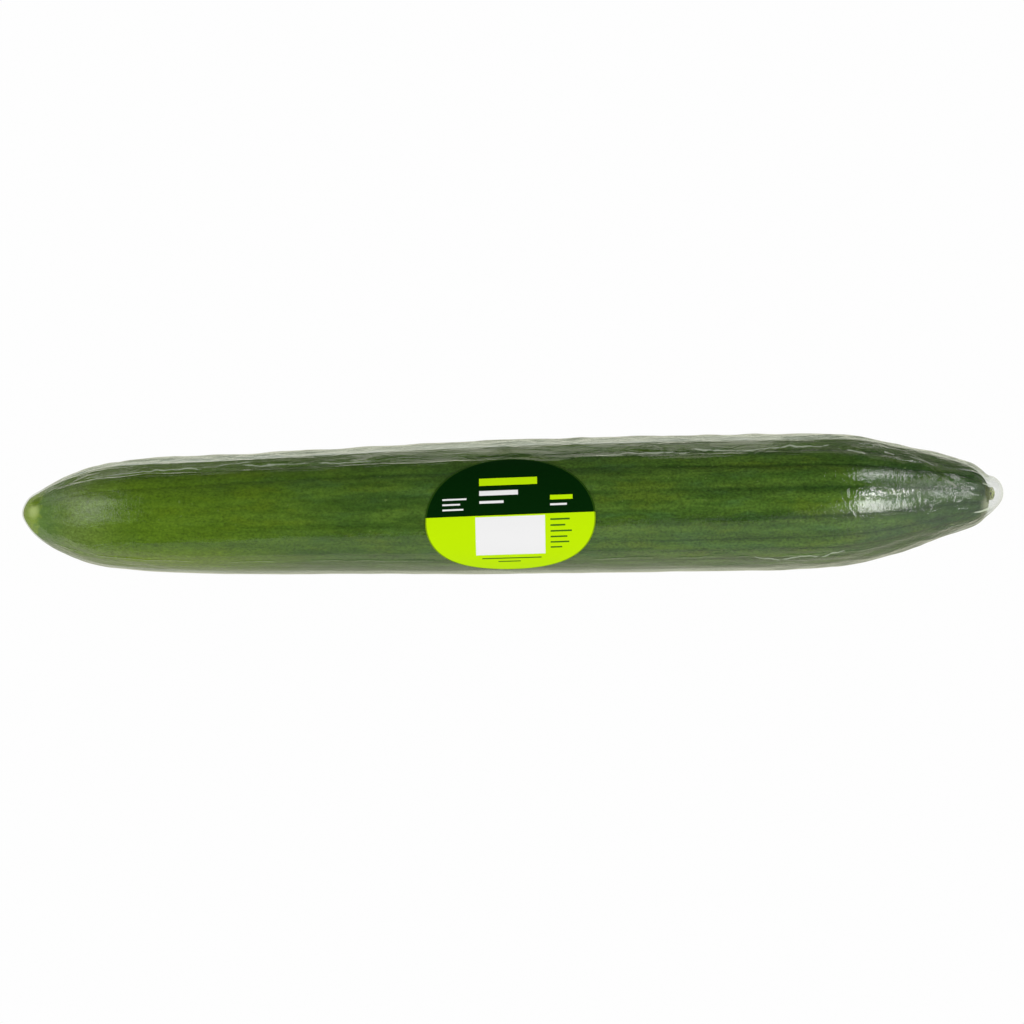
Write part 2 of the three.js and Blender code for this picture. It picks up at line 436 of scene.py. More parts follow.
def skin_points():
    """Flattened ribs with furrows between them, and slight swellings of the whole surface."""
    rows = even_rows(skin_stations(), SKIN_RINGS + 2, 0)
    angles = ring_angles(SKIN_AROUND)
    inner = rows[1:-1]
    index, share, sag = rib_pattern(inner, angles)
    radii = inner[:, 3:4] * (1 - SKIN_FLATNESS * sag)
    radii = radii - furrow_depth(inner, index, share) - side_gap(inner, angles)
    points = on_section(inner, angles, radii)
    swell = 0.16 * bumps(points * (0.5, 1, 1), 11, 2) + 0.05 * bumps(points, 3.5, 3)
    swell *= np.minimum(inner[:, 3:4] / 6, 1)
    points = on_section(inner, angles, radii + swell)
    points[..., 2] = np.maximum(points[..., 2], FLOOR_CLEARANCE["skin"])
    return rows, points, share


def make_stub():
    """The cut stem: a short stalk that flares into the fruit, with a dished scar on its end."""
    turn = Vector((0, 0, 1)).rotation_difference(STUB_AXIS).to_matrix()
    rings = []
    for radius, height in STUB_PROFILE[1:-1]:
        ring = []
        for j in range(STUB_AROUND):
            angle = 2 * math.pi * j / STUB_AROUND
            ribbed = radius * (1 + 0.03 * math.cos(5 * angle + 0.7) * smoothstep(1.5, 2.4, radius))
            local = Vector((ribbed * math.cos(angle), ribbed * math.sin(angle), height))
            local.z += 0.16 * noise.noise(local * 1.1)
            ring.append(STUB_CENTRE + turn @ local)
        rings.append(ring)
    points = [p for ring in rings for p in ring]
    poles = [STUB_CENTRE + turn @ Vector((0, 0, STUB_PROFILE[end][1])) for end in (0, -1)]
    faces = [tuple(reversed(face)) for face in closed_faces(len(rings), STUB_AROUND)]
    return make_mesh("stem_stub", points + poles, faces)


def unite(piece, other):
    modifier = piece.modifiers.new("stem", "BOOLEAN")
    modifier.operation = "UNION"
    modifier.object = other
    modifier.solver = "EXACT"
    bpy.context.view_layer.objects.active = piece
    bpy.ops.object.modifier_apply(modifier=modifier.name)
    bpy.data.objects.remove(other)


def make_cucumber():
    rows, points, share = skin_points()
    piece = closed_loft("cucumber_fruit", rows, points)
    set_attribute(piece, "furrow", np.append(share.ravel(), [0, 0]))
    unite(piece, make_stub())
    piece.data.materials.append(skin_material())
    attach(piece, "root")
    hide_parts("cucumber")
    return piece


def skin_material():
    shader = new_material("cucumber_skin")
    place = shader.place()
    x, y, _ = shader.add("SeparateXYZ", Vector=place).outputs
    furrow = shader.attribute("furrow")
    mottle = shader.noise(shader.stretched(place, (2.8, 1.7, 1.7)), 1.0, 3, 0.55, 0.3)
    grain = shader.noise(shader.stretched(place, (0.9, 0.65, 0.65)), 1.0, 2, 0.6)
    specks = shader.noise(shader.stretched(place, (1.8, 1.5, 1.5)), 1.0, 1, 0.5)

    colour = skin_greens(shader, place, x, furrow)
    colour = skin_ends(shader, x, y, colour)
    colour = skin_shading(shader, x, furrow, mottle, grain, colour)
    colour = shader.paint(colour, SKIN_COLOURS["speck"], shader.step(specks, 0.74, 0.79), 0.5)
    colour = blossom_tip(shader, place, mottle, colour)
    colour = stem_colours(shader, place, colour)

    normal = shader.bump(grain, 0.06)
    normal = shader.bump(mottle, 0.14, normal=normal)
    principled = shader.add("BsdfPrincipled", Base_Color=colour, Roughness=0.5, Normal=normal)
    principled.inputs["Specular IOR Level"].default_value = 0.1
    return shader.finish(principled.outputs["BSDF"])


def skin_greens(shader, place, x, furrow):
    """Streaked greens with broad patches and changes of hue, and dark lines along the furrows: partly the
    furrows' darker skin, partly painted shade.
    """
    patches = shader.noise(shader.stretched(place, (34, 9, 9)), 1.0, 2, 0.5)
    hues = shader.noise(shader.stretched(place, (16, 5, 5)), 1.0, 3, 0.55)
    streaks = shader.noise(shader.stretched(place, (20, 2.4, 2.4)), 1.0, 3, 0.5)
    colour = shader.mix(shader.step(streaks, 0.27, 0.73), SKIN_COLOURS["deep"], SKIN_COLOURS["light"])
    colour = shader.paint(colour, SKIN_COLOURS["shaded"], shader.step(patches, 0.48, 0.66), 0.45)
    colour = shader.paint(colour, SKIN_COLOURS["olive"], shader.step(hues, 0.52, 0.70), 0.45)
    colour = shader.paint(colour, SKIN_COLOURS["cool"], shader.step(hues, 0.48, 0.30), 0.45)
    # Dark furrow lines, stronger towards the stem: partly the furrows' own darker skin, partly painted
    # shade
    darkness = shader.math("ADD", shader.times(shader.step(x, 0.02, 0.09), 0.4), 0.2)
    return shader.paint(colour, SKIN_COLOURS["furrow"], shader.step(furrow, 0.80, 0.98), darkness)


def skin_ends(shader, x, y, colour):
    """Fresher and then paler towards the blossom end, yellower low on -Y there, and dark at the neck."""
    colour = shader.paint(colour, SKIN_COLOURS["fresh"], shader.step(x, -0.03, -0.12), 0.45)
    low_side = shader.times(shader.step(x, -0.06, -0.11), shader.step(y, -0.0125, -0.0185))
    colour = shader.paint(colour, SKIN_COLOURS["sunny"], low_side, 0.45)
    colour = shader.paint(colour, SKIN_COLOURS["pale"], shader.step(x, -0.116, -0.142), 0.72)
    return shader.paint(colour, SKIN_COLOURS["neck"], shader.step(x, 0.095, 0.150), 0.62)


def skin_shading(shader, x, furrow, mottle, grain, colour):
    """Light and dark grain and blotches, and painted light and shade towards the stem: ribs painted lighter
    than their shaded furrows.
    """
    stemward = shader.step(x, -0.02, 0.06)
    grain_depth = shader.math("ADD", shader.times(stemward, 0.5), 1.3)
    mottle_depth = shader.math("SUBTRACT", 0.65, shader.times(stemward, 0.2))
    # Painted light and shade: ribs lighter and furrows darker, as light falls across them towards the stem
    rib_light_and_shade = shader.math("SUBTRACT", 0.4, shader.step(furrow, 0.1, 0.9))
    rib_light_and_shade = shader.times(shader.step(x, 0.03, 0.08), rib_light_and_shade)
    light = shader.math("ADD", shader.times(shader.math("SUBTRACT", grain, 0.5), grain_depth), 1.0)
    light = shader.math("ADD", light, shader.times(shader.math("SUBTRACT", mottle, 0.5), mottle_depth))
    light = shader.math("ADD", light, shader.times(rib_light_and_shade, 0.22))
    factors = shader.add("CombineXYZ", X=light, Y=light, Z=light).outputs["Vector"]
    return shader.vector("MULTIPLY", colour, factors).outputs["Vector"]


def distance_from(shader, place, centre):
    """The offset from a point that is given in millimetres, and its length in millimetres."""
    offset = shader.vector("SUBTRACT", place, centre * MM * SCALE).outputs["Vector"]
    length = shader.vector("LENGTH", offset).outputs["Value"]
    return offset, shader.times(length, 1 / MM)


def blossom_tip(shader, place, mottle, colour):
    """The yellow-green end where the flower was, with a pale spot that is a painted highlight, a dark spot
    and a brownish tip.
    """
    _, distance = distance_from(shader, place, BLOSSOM_TIP)
    ragged = shader.math("ADD", distance, shader.times(shader.math("SUBTRACT", mottle, 0.5), 9.0))
    colour = shader.paint(colour, BLOSSOM_COLOURS["around"], shader.step(ragged, 22.0, 12.0), 0.5)
    colour = shader.paint(colour, BLOSSOM_COLOURS["end"], shader.step(ragged, 10.8, 7.2), 0.85)
    # Painted highlight: a pale spot on top of the blossom end
    _, pale = distance_from(shader, place, BLOSSOM_HIGHLIGHT_SPOT)
    colour = shader.paint(colour, BLOSSOM_COLOURS["pale"], shader.step(pale, 3.6, 0.8), 0.7)
    _, dark = distance_from(shader, place, BLOSSOM_DARK_SPOT)
    colour = shader.paint(colour, BLOSSOM_COLOURS["dark"], shader.step(dark, 2.8, 1.4), 0.8)
    return shader.paint(colour, BLOSSOM_COLOURS["brown"], shader.step(distance, 3.2, 1.2), 0.7)


def stem_colours(shader, place, colour):
    """The cut stem: an olive scar with specks and a dark pith, its flank in painted shade on the left and a
    pale rim on the right, partly its own colour and partly painted light, beside a pale patch.
    """
    _, patch = distance_from(shader, place, SHOULDER_PATCH)
    colour = shader.paint(colour, STEM_COLOURS["shoulder"], shader.step(patch, 4.6, 0.6), 0.85)
    offset, distance = distance_from(shader, place, STUB_CENTRE)
    height = shader.times(shader.vector("DOT_PRODUCT", offset, STUB_AXIS).outputs["Value"], 1 / MM)
    squared = shader.math("SUBTRACT", shader.times(distance, distance), shader.times(height, height))
    radius = shader.math("SQRT", shader.math("MAXIMUM", squared, 0.0))
    above = shader.step(height, -2.4, -1.0)
    # Painted light and shade: the flank dark on the stem's left side, and pale with its rim on the right
    # side
    side = shader.add("SeparateXYZ", Vector=offset).outputs["X"]
    flank = shader.mix(shader.step(side, -0.0012, 0.0), STEM_COLOURS["flank"], STEM_COLOURS["rim"])
    colour = shader.paint(colour, flank, above, shader.step(radius, 3.4, 2.4))
    specks = shader.noise(shader.stretched(place, (0.6, 0.6, 0.6)), 1.0, 2, 0.5)
    scar = shader.mix(shader.step(specks, 0.44, 0.60), STEM_COLOURS["scar"], STEM_COLOURS["scar speck"])
    colour = shader.paint(colour, scar, above, shader.step(radius, 1.95, 1.65))
    return shader.paint(colour, STEM_COLOURS["pith"], above, shader.step(radius, 0.65, 0.3))


# The film


FILM_RINGS, FILM_AROUND = 440, 216
VENT = {"x": 60.0, "angle": -140.0, "radius": 1.5, "edge": 0.05}

# How flat the film is from rib to rib, and what share of the furrows' depth it takes
FILM_FLATNESS = 0.18
FURROW_CLING = 0.02

# The film's creases stay within these distances of the taut film and of the round outline
MOST_SUNK, MOST_PROUD = 0.6, 0.06

REFRACTIVE_INDEX = 1.5
FILM_TINTS = {"face on": (0.975, 0.980, 0.965), "slanting": (0.035, 0.100, 0.000)}
# The white of the cap's own haze, and of the painted highlights at short folds
FILM_WHITES = {"fold": (0.74, 0.84, 0.64), "cap": (0.88, 0.88, 0.85)}

# Long thin folds: the angle of each, its half width in degrees, its height and its noise's seed
LONG_FOLDS = [(-44.0, 1.5, 0.16, 3.0), (-61.0, 1.2, 0.10, 11.0), (51.0, 1.5, 0.10, 23.0)]
LONG_FOLD_WANDER = 3.0


def crumple(rows, angles):
    """Where the film is creased: most along its upper +Y side, less on -Y, and a little elsewhere."""
    x = rows[:, :1]
    upper = smoothstep(-39, -48, angles) * smoothstep(-105, -85, angles)
    upper = upper * (1 - 0.4 * smoothstep(-70, -130, x))
    lower = smoothstep(40, 52, angles) * smoothstep(105, 85, angles)
    lower = lower * (0.3 + 0.4 * smoothstep(60, 100, x))
    ends = 0.55 * smoothstep(118, 140, x) + 0.35 * smoothstep(-100, -140, x)
    hidden = 0.35 * smoothstep(80, 110, np.abs(angles))
    return np.clip(upper + lower + ends + hidden, 0.05, 1.2)


def stem_pleats(rows, angles):
    """Short folds in the film where it narrows past the stem end's shoulder."""
    x = rows[:, :1]
    turn = np.radians(angles)
    fan = np.maximum(np.cos(11 * turn + 1.5 * np.sin(2 * turn) + 0.6), 0) ** 2
    return 0.16 * fan * smoothstep(142, 149, x) * smoothstep(155, 151, x)


def film_points():
    """The film is nearly flat from rib to rib, and creased where it is crumpled."""
    rows = even_rows(OUTLINE, FILM_RINGS + 2, FILM_INSET)
    angles = ring_angles(FILM_AROUND)
    inner = rows[1:-1]
    index, share, sag = rib_pattern(inner, angles)
    taut = inner[:, 3:4] * (1 - FILM_FLATNESS * sag)
    radii = taut - FURROW_CLING * furrow_depth(inner, index, share) - stem_pleats(inner, angles)
    points = on_section(inner, angles, radii)
    slanted = points.copy()
    slanted[..., 0] = points[..., 0] * 0.35 + points[..., 1] * 0.5
    crease = 1 - 3 * np.abs(bumps(slanted, 3.6, 5))
    broad = bumps(points * (0.4, 1, 1), 8, 6)
    folds = bumps(points * (0.3, 1, 1), 3.0, 7)
    weight = crumple(inner, angles) * np.minimum(inner[:, 3:4] / 8, 1)
    radii = radii - weight * (0.2 - 0.09 * crease - 0.2 * broad - 0.45 * folds) - 0.01
    radii = np.clip(radii, taut - MOST_SUNK, inner[:, 3:4] + MOST_PROUD)
    points = on_section(inner, angles, radii)
    points[..., 2] = np.maximum(points[..., 2], FLOOR_CLEARANCE["film"])
    return rows, points, angles, weight


def make_film():
    rows, points, angles, weight = film_points()
    piece = closed_loft("shrink_film", rows, points)
    set_attribute(piece, "crumple", np.append(weight.ravel(), [0.5, 0.5]))
    every_angle = np.broadcast_to(angles, weight.shape)
    set_attribute(piece, "angle", np.append(every_angle.ravel(), [0, 0]))
    piece.data.materials.append(film_material())
    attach(piece, "root")
    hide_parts("film_wrap")
    return piece


def film_material():
    """A thin clear sheet: glossy, dimmer where it is seen slanting, hazy white at its cap, and with painted
    highlights at short folds.
    """
    shader = new_material("clear_film")
    place = shader.place()
    angle = shader.attribute("angle")
    x = shader.add("SeparateXYZ", Vector=place).outputs["X"]
    cap = shader.step(x, 0.1495, 0.1525)
    tip = shader.step(x, -0.1450, -0.1510)
    normal = film_normal(shader, place, x, angle)

    tint = film_tint(shader, cap, tip)
    clear = shader.add("BsdfTransparent", Color=tint).outputs[0]
    white = shader.mix(cap, FILM_WHITES["fold"], FILM_WHITES["cap"])
    haze_and_highlight_shader = shader.add("BsdfDiffuse", Color=white).outputs[0]
    # The cap's own haze, and painted highlights: short folds painted white where they catch the light,
    # partly the whiter look of film folded double
    cap_haze_and_fold_highlights = shader.math("MAXIMUM", shader.times(cap, 0.2), fold_highlights(shader, place, x, angle))
    veiled = shader.blend(cap_haze_and_fold_highlights, clear, haze_and_highlight_shader)
    gloss = shader.add("BsdfGlossy", Color=(1, 1, 1, 1), Roughness=0.07, Normal=normal).outputs[0]
    sheet = shader.blend(film_reflection(shader, normal, cap, tip), veiled, gloss)
    hole = shader.add("BsdfTransparent").outputs[0]
    return shader.finish(shader.blend(vent_hole(shader, place), sheet, hole))


def film_normal(shader, place, x, angle):
    """Slanting creases, fine wrinkles, crosswise ones that grow at both ends, and long folds."""
    creases = shader.noise(shader.stretched(place, (9, 2.6, 2.6), 14), 1.0, 3, 0.5, 0.8)
    sharp = shader.math("ABSOLUTE", shader.math("SUBTRACT", creases, 0.5))
    normal = shader.bump(shader.times(sharp, shader.attribute("crumple")), 0.6)
    fine = shader.noise(shader.stretched(place, (7, 1.6, 1.6)), 1.0, 4, 0.6)
    normal = shader.bump(fine, 0.055, normal=normal)
    cross = shader.noise(shader.stretched(place, (1.3, 2.6, 2.6), 10), 1.0, 3, 0.6, 0.7)
    both_ends = shader.math("ADD", shader.step(x, 0.085, 0.100), shader.step(x, -0.105, -0.125))
    cross = shader.times(cross, shader.math("ADD", both_ends, 0.4))
    normal = shader.bump(cross, 0.065, normal=normal)
    for middle, width, height, seed in LONG_FOLDS:
        normal = shader.bump(fold_line(shader, x, angle, middle, width, seed), height, normal=normal)
    return normal


def fold_line(shader, x, angle, middle, width, seed):
    """A long thin fold along the film, at about that angle, which wanders and breaks off."""
    wander = LONG_FOLD_WANDER
    along = shader.add("CombineXYZ", X=shader.times(x, 1 / MM), Y=seed).outputs["Vector"]
    slow = shader.noise(along, 1 / 26, 1)
    quick = shader.noise(along, 1 / 6, 2)
    shift = shader.math("ADD", shader.times(slow, wander * 2), shader.times(quick, wander))
    offset = shader.math("SUBTRACT", shader.math("SUBTRACT", angle, middle - 1.5 * wander), shift)
    height = shader.step(shader.math("ABSOLUTE", offset), width, 0.0)
    present = shader.step(shader.noise(along, 1 / 17, 1), 0.40, 0.50)
    return shader.times(height, present)


def film_tint(shader, cap, tip):
    """What the film lets through: less and greener where it slants, but not at its two ends."""
    facing = shader.add("LayerWeight", Blend=0.5).outputs["Facing"]
    ends = shader.math("MAXIMUM", shader.times(cap, 0.92), shader.times(tip, 0.75))
    slant = shader.times(facing, facing, shader.math("SUBTRACT", 1.0, ends))
    return shader.mix(slant, FILM_TINTS["face on"], FILM_TINTS["slanting"])


def film_reflection(shader, normal, cap, tip):
    """The share that both faces of the sheet reflect together, less where its ends are matt."""
    backfacing = shader.add("NewGeometry").outputs["Backfacing"]
    change = shader.times(backfacing, REFRACTIVE_INDEX - 1 / REFRACTIVE_INDEX)
    index = shader.math("SUBTRACT", REFRACTIVE_INDEX, change)
    once = shader.add("Fresnel", IOR=index, Normal=normal).outputs["Fac"]
    twice = shader.math("DIVIDE", shader.times(once, 2.0), shader.math("ADD", once, 1.0))
    matt = shader.math("ADD", shader.times(tip, 0.75), shader.times(cap, 0.45))
    return shader.times(twice, shader.math("SUBTRACT", 1.0, matt))


# Painted highlights: short folds painted white where they catch the light, partly the whiter look of film
# folded double. x, angle and half width in degrees of both ends, and strength
FOLD_HIGHLIGHTS = [
    ((148.2, -25.5, 0.6), (150.7, -26.5, 2.4), 0.85),
    ((145.4, 33.0, 0.3), (151.0, 36.5, 4.5), 0.75),
    ((134.7, -23.9, 0.7), (139.4, -12.4, 1.5), 0.45),
    ((137.5, -27.0, 0.6), (142.6, -28.9, 0.6), 0.50),
    ((102.2, -7.0, 0.5), (103.6, 4.0, 0.7), 0.35),
    ((104.9, -50.5, 0.6), (110.6, -45.5, 0.9), 0.55),
    ((116.9, -53.7, 0.8), (120.1, -51.3, 0.8), 0.60),
    ((124.8, -52.0, 0.6), (132.8, -42.3, 1.0), 0.45),
    ((70.0, -47.0, 0.4), (84.0, -50.5, 0.8), 0.45),
    ((84.0, -50.5, 0.8), (100.0, -56.0, 0.5), 0.50),
    ((-134.0, -49.6, 0.4), (-112.0, -48.5, 0.8), 0.40),
    ((-113.0, -49.5, 0.9), (-98.0, -50.5, 0.5), 0.50),
    ((-98.0, -53.0, 0.4), (-82.0, -58.0, 1.0), 0.40),
    ((-84.0, -53.0, 0.9), (-64.0, -50.5, 0.5), 0.45),
    ((-60.0, -50.5, 0.8), (-44.0, -48.0, 0.4), 0.40),
    ((27.0, -45.5, 0.5), (42.0, -47.5, 0.8), 0.40),
    ((41.0, -49.0, 0.8), (55.0, -46.5, 0.4), 0.40),
    ((57.0, -50.0, 0.8), (70.0, -47.5, 0.5), 0.45),
    ((76.0, 52.5, 0.5), (84.0, 57.0, 0.8), 0.40),
    ((85.0, 56.5, 0.6), (96.0, 53.0, 0.6), 0.40),
    ((97.0, 53.5, 0.5), (104.0, 49.5, 0.8), 0.40),
]


def fold_highlights(shader, place, x, angle):
    """How white the painted highlights at the short folds make the film; their edges are ragged."""
    ragged = shader.noise(shader.stretched(place, (2.5, 1.2, 1.2)), 1.0, 2, 0.6)
    bends = shader.noise(shader.stretched(place, (5.0, 5.0, 5.0)), 1.0, 1, 0.5)
    angle = shader.math("ADD", angle, shader.times(shader.math("SUBTRACT", bends, 0.5), 7.0))
    total = 0.0
    for (start, first, first_width), (end, last, last_width), strength in FOLD_HIGHLIGHTS:
        share = shader.times(shader.math("SUBTRACT", x, start * MM), 1 / ((end - start) * MM))
        middle = shader.math("ADD", shader.times(share, last - first), first)
        width = shader.math("ADD", shader.times(share, last_width - first_width), first_width)
        offset = shader.math("ABSOLUTE", shader.math("SUBTRACT", angle, middle))
        beyond = shader.math("ADD", shader.math("SUBTRACT", offset, width), shader.times(ragged, 2.4))
        mark = shader.times(shader.step(beyond, 1.9, 0.7), shader.window(share, 0.0, 1.0, 0.08), strength)
        total = shader.math("MAXIMUM", mark, total)
    return total


def vent_hole(shader, place):
    """1 inside the small round hole in the film's lower side."""
    station = np.interp(VENT["x"], OUTLINE[:, 0], np.arange(len(OUTLINE)))
    rows = inset_rows(OUTLINE, np.array([station]), FILM_INSET)
    centre = on_section(rows, np.array([VENT["angle"]]), rows[:, 3:4])[0, 0]
    _, distance = distance_from(shader, place, Vector(centre))
    return shader.step(distance, VENT["radius"] + VENT["edge"], VENT["radius"] - VENT["edge"])


# The label


LABEL = {"x": -0.3, "around": 4.2, "length": 53.0, "width": 41.0, "tilt": 1.0, "thickness": 0.12}
LABEL_RINGS, LABEL_SPOKES = 44, 160
OUTLINE_SEARCH_STEPS = 6

# The height of the line between the dark field and the lime one, and the bare white panel
DIVIDE = 1.65
PANEL = {"left": -10.85, "right": 10.75, "top": DIVIDE - 0.45, "bottom": -12.2}
PRINT_SOFTNESS = 0.06
INKS = {
    "dark": (0.0010, 0.0165, 0.0012),
    "lime": (0.550, 0.860, 0.0015),
    "white": (0.90, 0.90, 0.90),
    "green": (0.05, 0.16, 0.01),
    # "rim": painted shadow, a dark line round the sticker's edge
    "rim": (0.040, 0.110, 0.008),
}


def label_grid():
    """Points of the oval in its own plane: along, and up towards its dark upper edge."""
    half_length, half_width = LABEL["length"] / 2, LABEL["width"] / 2
    points = [(0.0, 0.0)]
    for i in range(1, LABEL_RINGS + 1):
        share = i / LABEL_RINGS
        for j in range(LABEL_SPOKES):
            turn = 2 * math.pi * j / LABEL_SPOKES
            points.append((half_length * share * math.cos(turn), half_width * share * math.sin(turn)))
    return np.array(points)


def outline_rows(x):
    """The outline's rows at those x, each found by stepping along the outline's slope."""
    where = np.interp(x, OUTLINE[:, 0], np.arange(len(OUTLINE)))
    for _ in range(OUTLINE_SEARCH_STEPS):
        rows, slopes = catmull_rom(OUTLINE, where)
        where = where - (rows[:, 0] - x) / slopes[:, 0]
    return catmull_rom(OUTLINE, where)[0]


def label_points(lift):
    """The sticker bridges the film's small hollows, so it follows the round outline."""
    grid = label_grid()
    tilt = math.radians(LABEL["tilt"])
    along = grid[:, 0] * math.cos(tilt) - grid[:, 1] * math.sin(tilt)
    up = grid[:, 1] * math.cos(tilt) + grid[:, 0] * math.sin(tilt)
    rows = outline_rows(LABEL["x"] + along)
    turn = (LABEL["around"] - up) / rows[:, 3]
    radii = rows[:, 3] + lift
    y = rows[:, 1] - radii * np.sin(turn)
    z = rows[:, 2] + radii * np.cos(turn)
    return np.stack([rows[:, 0], y, z], axis=-1)


def label_faces():
    """The sticker's upper and lower faces, rings around a middle point, joined at the rim."""
    under = 1 + LABEL_RINGS * LABEL_SPOKES

    def at(ring, spoke):
        return 1 + (ring - 1) * LABEL_SPOKES + spoke % LABEL_SPOKES

    faces = []
    for j in range(LABEL_SPOKES):
        faces.append((0, at(1, j), at(1, j + 1)))
        faces.append((under, under + at(1, j + 1), under + at(1, j)))
        for i in range(1, LABEL_RINGS):
            a, b, c, d = at(i, j), at(i + 1, j), at(i + 1, j + 1), at(i, j + 1)
            faces.append((a, b, c, d))
            faces.append((under + d, under + c, under + b, under + a))
        rim, after = at(LABEL_RINGS, j), at(LABEL_RINGS, j + 1)
        faces.append((rim, under + rim, under + after, after))
    return faces


def make_label():
    points = np.vstack([label_points(LABEL["thickness"]), label_points(0)])
    piece = make_mesh("oval_sticker", points, label_faces())
    grid = label_grid()
    set_attribute(piece, "label_along", np.tile(grid[:, 0], 2))
    set_attribute(piece, "label_up", np.tile(grid[:, 1], 2))
    piece.data.materials.append(label_material())
    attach(piece, "root")
    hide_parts("label")
    return piece


def label_material():
    """Matt paper with two fields of colour, a white panel, plain bars and a darker rim of painted shadow at
    its edge.
    """
    shader = new_material("printed_label")
    along = shader.attribute("label_along")
    up = shader.attribute("label_up")

    def box(left, right, bottom, top):
        beside = shader.window(along, left, right, PRINT_SOFTNESS)
        return shader.times(beside, shader.window(up, bottom, top, PRINT_SOFTNESS))

    upper = shader.step(up, DIVIDE - PRINT_SOFTNESS, DIVIDE + PRINT_SOFTNESS)
    colour = shader.mix(upper, INKS["lime"], INKS["dark"])
    panel = box(PANEL["left"], PANEL["right"], PANEL["bottom"], PANEL["top"])
    colour = shader.mix(panel, colour, INKS["white"])
    for left, right, middle, height, ink in label_bars():
        bar = box(left, right, middle - height / 2, middle + height / 2)
        colour = shader.mix(bar, colour, INKS[ink])
    across = shader.times(along, 2 / LABEL["length"])
    upright = shader.times(up, 2 / LABEL["width"])
    squared = shader.math("ADD", shader.times(across, across), shader.times(upright, upright))
    # Painted shadow: a darker rim round the sticker's edge
    rim = shader.step(shader.math("SQRT", squared), 0.978, 0.990)
    colour = shader.paint(colour, INKS["rim"], rim, 0.6)
    paper = shader.noise(shader.stretched(shader.place(), (0.6, 0.6, 0.6)), 1.0, 2, 0.5)
    normal = shader.bump(paper, 0.012)
    principled = shader.add("BsdfPrincipled", Base_Color=colour, Roughness=0.6, Normal=normal)
    principled.inputs["Specular IOR Level"].default_value = 0.03
    return shader.finish(principled.outputs["BSDF"])


def label_bars():
    """Plain bars where a real sticker has print: left, right, middle height, thickness, ink."""
    bars = [(-9.5, 8.5, 12.2, 2.4, "lime"), (-9.5, 2.5, 8.6, 1.5, "white"), (-9.5, -2.0, 5.8, 0.8, "white")]
    for line, length in enumerate((7.5, 5.5, 6.5)):
        bars.append((-21.0, -21.0 + length, 7.0 - 1.6 * line, 0.5, "white"))
    bars.append((12.4, 19.4, 6.6, 1.4, "lime"))
    bars.append((12.4, 17.6, 4.4, 0.6, "white"))
    for line, length in enumerate((6.0, 4.6, 6.6, 5.2, 5.8, 3.6)):
        bars.append((12.4, 12.4 + length, -0.2 - 1.9 * line, 0.55, "green"))
    bars.append((-9.0, 9.5, -13.8, 0.5, "green"))
    bars.append((-4.0, 3.0, -15.4, 0.5, "green"))
    return bars


# Stage, light and camera


FLOOR_HALF_SIZE = 6.0
FLOOR_WHITE = (0.99, 0.99, 0.99)
FLOOR_GLOSS = {
    "-Y": (0.64, 0.65, 0.50),
    "+Y": (0.84, 0.86, 0.70),
    "dark": (0.14, 0.18, 0.09),
}
KEY_LIGHT = {"place": (0.05, -0.30, 1.17), "size": 0.9, "radiance": 4.35}
BACKDROP_LIGHT = 0.99
ROOM_LIGHT = 0.27
HORIZON_LIGHT = 0.7
HORIZON_TINT = (0.96, 1.0, 0.84)


def make_floor():
    size = FLOOR_HALF_SIZE
    mesh = bpy.data.meshes.new("floor")
    corners = [(-size, -size, 0), (size, -size, 0), (size, size, 0), (-size, size, 0)]
    mesh.from_pydata(corners, [], [(0, 1, 2, 3)])
    floor = bpy.data.objects.new("floor", mesh)
    bpy.context.scene.collection.objects.link(floor)
    mesh.materials.append(floor_material())


def floor_material():
    """Plain white, but dimmer to the gloss, and patchy there beyond the +Y side."""
    shader = new_material("floor_white")
    glossy = shader.add("LightPath").outputs["Is Glossy Ray"]
    place = shader.place()
    x, y, _ = shader.add("SeparateXYZ", Vector=place).outputs
    patches = shader.noise(shader.stretched(place, (24, 120, 120)), 1.0, 2, 0.5)
    patches = shader.math("ADD", patches, shader.times(shader.window(x, -0.065, 0.085, 0.03), 0.15))
    patches = shader.math("SUBTRACT", patches, 0.08)
    dark = shader.times(shader.step(patches, 0.56, 0.44), shader.step(y, 0.034, 0.046))
    pale = shader.mix(shader.step(y, -0.01, 0.01), FLOOR_GLOSS["-Y"], FLOOR_GLOSS["+Y"])
    seen = shader.mix(dark, pale, FLOOR_GLOSS["dark"])
    colour = shader.mix(glossy, FLOOR_WHITE, seen)
    return shader.finish(shader.add("Emission", Color=colour).outputs[0])


def make_key_light():
    """A soft square light from -Y, which doesn't show in the gloss."""
    size = KEY_LIGHT["size"]
    data = bpy.data.lights.new("key", "AREA")
    data.size = size
    data.energy = KEY_LIGHT["radiance"] * math.pi * size * size
    light = bpy.data.objects.new("key", data)
    bpy.context.scene.collection.objects.link(light)
    light.location = KEY_LIGHT["place"]
    light.rotation_mode = "QUATERNION"
    light.rotation_quaternion = (-light.location).to_track_quat("-Z", "Y")
    light.visible_camera = False
    light.visible_glossy = False


# Bright places that the gloss sees: low and high x and y of their directions, softness, radiance
WINDOWS = [
    (0.40, 0.60, -0.36, 0.00, 0.04, 8.2),
    (0.45, 0.57, 0.12, 0.27, 0.02, 13.0),
    (0.38, 0.54, 0.54, 0.76, 0.05, 5.8),
    (0.62, 0.66, 0.40, 0.48, 0.03, 3.5),
    (0.60, 0.84, 0.04, 0.36, 0.08, 0.6),
    (0.72, 0.80, 0.02, 0.34, 0.03, 4.5),
    (-0.84, -0.44, -0.30, 0.65, 0.08, 0.70),
    (-0.72, -0.50, 0.00, 0.42, 0.04, 0.60),
]


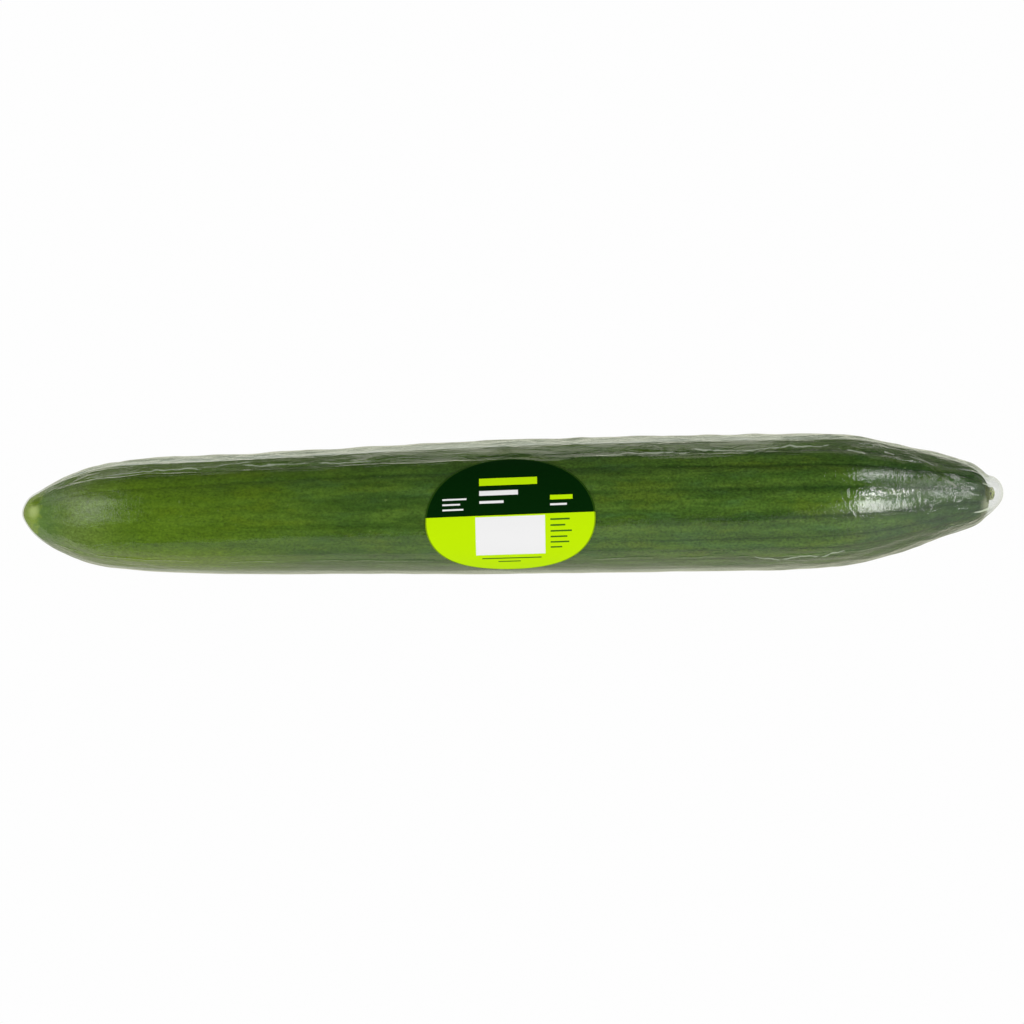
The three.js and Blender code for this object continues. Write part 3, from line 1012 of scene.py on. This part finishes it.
def gloss_light(shader, x, y, z):
    """A dark room, a pale panel over -Y and +X, and ragged bright windows over both ends."""
    reach = shader.math("SUBTRACT", shader.times(x, 1.8), y)
    reach = shader.math("SUBTRACT", reach, shader.times(z, 0.64))
    panel = shader.times(shader.step(reach, -0.03, 0.06), shader.step(y, 0.66, 0.44))
    panel_light = shader.math("ADD", shader.times(shader.step(x, 0.15, 0.5), 0.28), 0.32)
    total = shader.math("ADD", shader.times(panel, panel_light), 0.02)
    places = shader.add("CombineXYZ", X=shader.times(x, 30), Y=shader.times(y, 11)).outputs[0]
    ragged = shader.math("SUBTRACT", shader.noise(places, 1.0, 3, 0.6), 0.5)
    x = shader.math("ADD", x, shader.times(ragged, 0.16))
    y = shader.math("ADD", y, shader.times(ragged, 0.06))
    for x_low, x_high, y_low, y_high, soft, radiance in WINDOWS:
        beside = shader.window(x, x_low, x_high, soft)
        light = shader.times(beside, shader.window(y, y_low, y_high, soft), radiance)
        total = shader.math("ADD", total, shader.times(light, shader.math("ADD", ragged, 0.95)))
    return total


def make_world():
    """White behind the object, a dim room for what it lights, and windows for the gloss."""
    world = bpy.data.worlds.new("studio")
    bpy.context.scene.world = world
    shader = Shader(world, "OutputWorld")
    direction = shader.add("TexCoord").outputs["Generated"]
    x, y, z = shader.add("SeparateXYZ", Vector=direction).outputs
    path = shader.add("LightPath")
    horizon = shader.step(z, 0.05, 0.01)
    gloss = shader.math("MAXIMUM", gloss_light(shader, x, y, z), shader.times(horizon, HORIZON_LIGHT))
    strength = shader.choose(path.outputs["Is Glossy Ray"], ROOM_LIGHT, gloss)
    strength = shader.choose(path.outputs["Is Camera Ray"], strength, BACKDROP_LIGHT)
    tinted = shader.times(horizon, path.outputs["Is Glossy Ray"])
    colour = shader.mix(tinted, (1.0, 1.0, 1.0), HORIZON_TINT)
    shader.finish(shader.add("Background", Color=colour, Strength=strength).outputs[0])


# The photograph is 1024 pixels square, and its middle looks straight down on this point
IMAGE_PIXELS = 1024
MM_PER_PIXEL = 0.3171
LENS = 100.0
SENSOR = 36.0
VIEW_CENTRE = (0.22, -2.65, 22.0)


def make_camera():
    data = bpy.data.cameras.new("camera")
    data.lens = LENS
    data.sensor_width = SENSOR
    data.clip_end = 50
    camera = bpy.data.objects.new("camera", data)
    bpy.context.scene.collection.objects.link(camera)
    distance = IMAGE_PIXELS * MM_PER_PIXEL * LENS / SENSOR
    x, y, z = VIEW_CENTRE
    camera.location = Vector((x, y, z + distance)) * MM
    bpy.context.scene.camera = camera


def set_colours():
    scene = bpy.context.scene
    scene.view_settings.view_transform = "Standard"
    scene.cycles.transparent_max_bounces = 16


make_camera()
set_colours()
make_world()
make_key_light()
make_floor()
make_cucumber()
make_film()
make_label()
